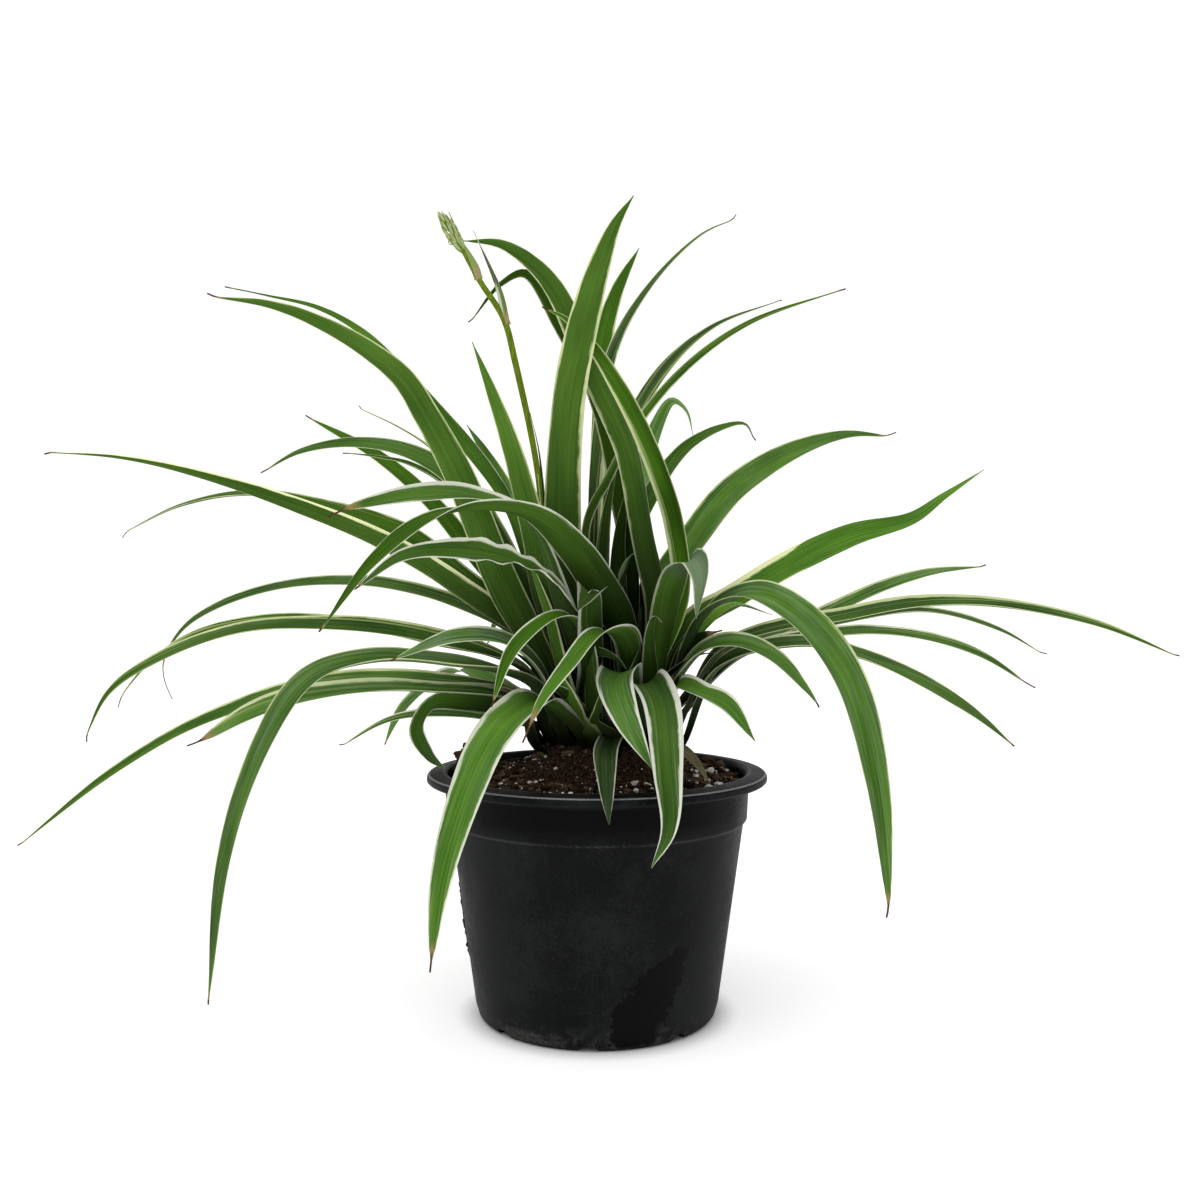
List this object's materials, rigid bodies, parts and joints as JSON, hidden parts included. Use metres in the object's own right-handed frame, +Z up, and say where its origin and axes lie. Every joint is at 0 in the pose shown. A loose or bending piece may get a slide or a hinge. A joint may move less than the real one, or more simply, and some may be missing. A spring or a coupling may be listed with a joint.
{
  "type": "potted spider plant",
  "caption": "Potted spider plant with long arching striped leaves and one flower stalk, in a round dark nursery pot filled with soil.",
  "frame": {"origin": "middle of the pot's flat base, on the surface that the pot stands on", "axes": "+Z up along the pot's axis; +X to the right of the plant as seen from its front; +Y to its back"},
  "size_m": [0.5527, 0.2951, 0.4005],
  "materials": {
    "pot": "satin",
    "soil": "matte",
    "crown": "matte",
    "flower_stalk": "satin",
    "leaf": "satin",
    "dry_leaf": "matte"
  },
  "bodies": {
    "root": {"pot": "pot", "soil": "soil", "crown": "crown", "flower_stalk": "flower_stalk", "leaf_back_1": "leaf", "leaf_back_2": "leaf", "leaf_back_3": "leaf", "leaf_centre_1": "leaf", "leaf_centre_2": "leaf", "leaf_dry_leaf": "dry_leaf", "leaf_front_1": "leaf", "leaf_front_2": "leaf", "leaf_front_3": "leaf", "leaf_front_left_1": "leaf", "leaf_front_left_2": "leaf", "leaf_front_left_3": "leaf", "leaf_front_left_4": "leaf", "leaf_front_left_5": "leaf", "leaf_front_right": "leaf", "leaf_left_front": "leaf", "leaf_left_high_1": "leaf", "leaf_left_high_2": "leaf", "leaf_left_high_3": "leaf", "leaf_left_long": "leaf", "leaf_left_low_1": "leaf", "leaf_left_low_2": "leaf", "leaf_left_low_3": "leaf", "leaf_left_low_4": "leaf", "leaf_left_low_5": "leaf", "leaf_left_low_6": "leaf", "leaf_left_low_7": "leaf", "leaf_left_low_8": "leaf", "leaf_left_mid_1": "leaf", "leaf_left_mid_2": "leaf", "leaf_left_mid_3": "leaf", "leaf_left_mid_4": "leaf", "leaf_left_mid_5": "leaf", "leaf_left_mid_6": "leaf", "leaf_over_1": "leaf", "leaf_over_2": "leaf", "leaf_over_3": "leaf", "leaf_right_front": "leaf", "leaf_right_high_1": "leaf", "leaf_right_high_2": "leaf", "leaf_right_high_3": "leaf", "leaf_right_high_4": "leaf", "leaf_right_long": "leaf", "leaf_right_low_1": "leaf", "leaf_right_low_2": "leaf", "leaf_right_low_3": "leaf", "leaf_right_low_4": "leaf", "leaf_right_mid_1": "leaf", "leaf_right_mid_2": "leaf", "leaf_right_mid_3": "leaf", "leaf_right_mid_4": "leaf", "leaf_tall_back": "leaf", "leaf_tall_back_right": "leaf", "leaf_tall_front": "leaf", "leaf_tall_left": "leaf", "leaf_tall_left_back": "leaf"}
  },
  "joints": []
}
